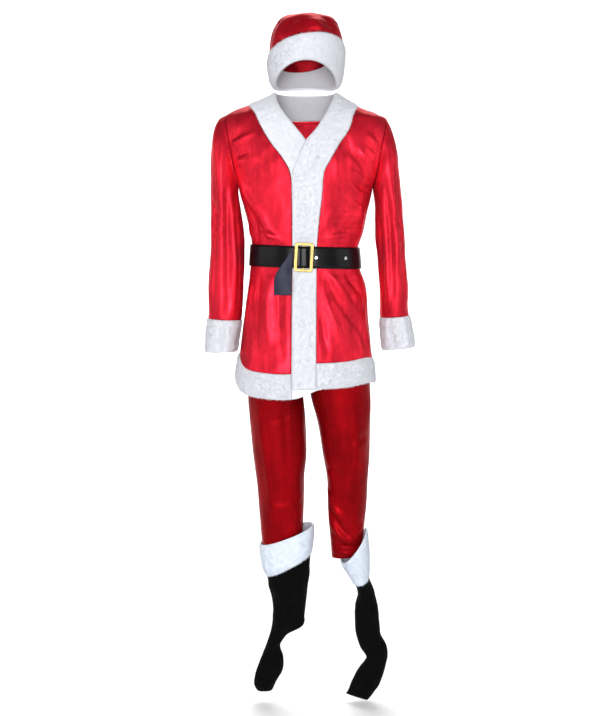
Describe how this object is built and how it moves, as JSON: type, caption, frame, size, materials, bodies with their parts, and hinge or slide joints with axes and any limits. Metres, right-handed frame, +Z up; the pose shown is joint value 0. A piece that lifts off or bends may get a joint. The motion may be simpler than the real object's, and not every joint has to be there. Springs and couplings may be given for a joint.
{
  "type": "santa suit",
  "caption": "Worn santa costume: fur-banded hat, belted velvet jacket, trousers and limp boot covers with fur cuffs.",
  "frame": {"origin": "middle of the wearer's neck at shoulder level, where the suit is held up", "axes": "+Z up, the suit's front faces -Y, +X is the wearer's left"},
  "size_m": [0.551, 0.2992, 1.7966],
  "materials": {
    "jacket_velvet": "panne velvet, short shiny nap",
    "hat_velvet": "panne velvet, nap lying the other way",
    "trouser_velvet": "panne velvet, darker nap",
    "fur": "white short-pile plush",
    "boot_fur": "white plush, slightly grey",
    "boot_cloth": "matt black polyester",
    "belt_face": "black coated strap",
    "belt_reverse": "strap's matt backing",
    "brass": "gold-coloured plating",
    "eyelet_metal": "bright nickel"
  },
  "bodies": {
    "root": {"jacket_back": "jacket_velvet", "jacket_front_right": "jacket_velvet", "jacket_front_left": "jacket_velvet", "sleeve_right": "jacket_velvet", "sleeve_left": "jacket_velvet", "hat_crown": "hat_velvet", "trouser_right_front": "trouser_velvet", "trouser_right_back": "trouser_velvet", "trouser_left_front": "trouser_velvet", "trouser_left_back": "trouser_velvet", "waistband": "trouser_velvet", "hat_band": "fur", "front_band_right": "fur", "front_band_left": "fur", "collar_back": "fur", "hem_band_back": "fur", "hem_band_right": "fur", "hem_band_left": "fur", "cuff_right": "fur", "cuff_left": "fur", "boot_cuff_right": "boot_fur", "boot_cuff_left": "boot_fur", "boot_right_near": "boot_cloth", "boot_right_far": "boot_cloth", "boot_left_near": "boot_cloth", "boot_left_far": "boot_cloth", "belt_strap": "belt_face", "belt_tail": "belt_reverse", "buckle_frame": "brass", "buckle_bar": "brass", "eyelet_near": "eyelet_metal", "eyelet_far": "eyelet_metal"}
  },
  "joints": []
}
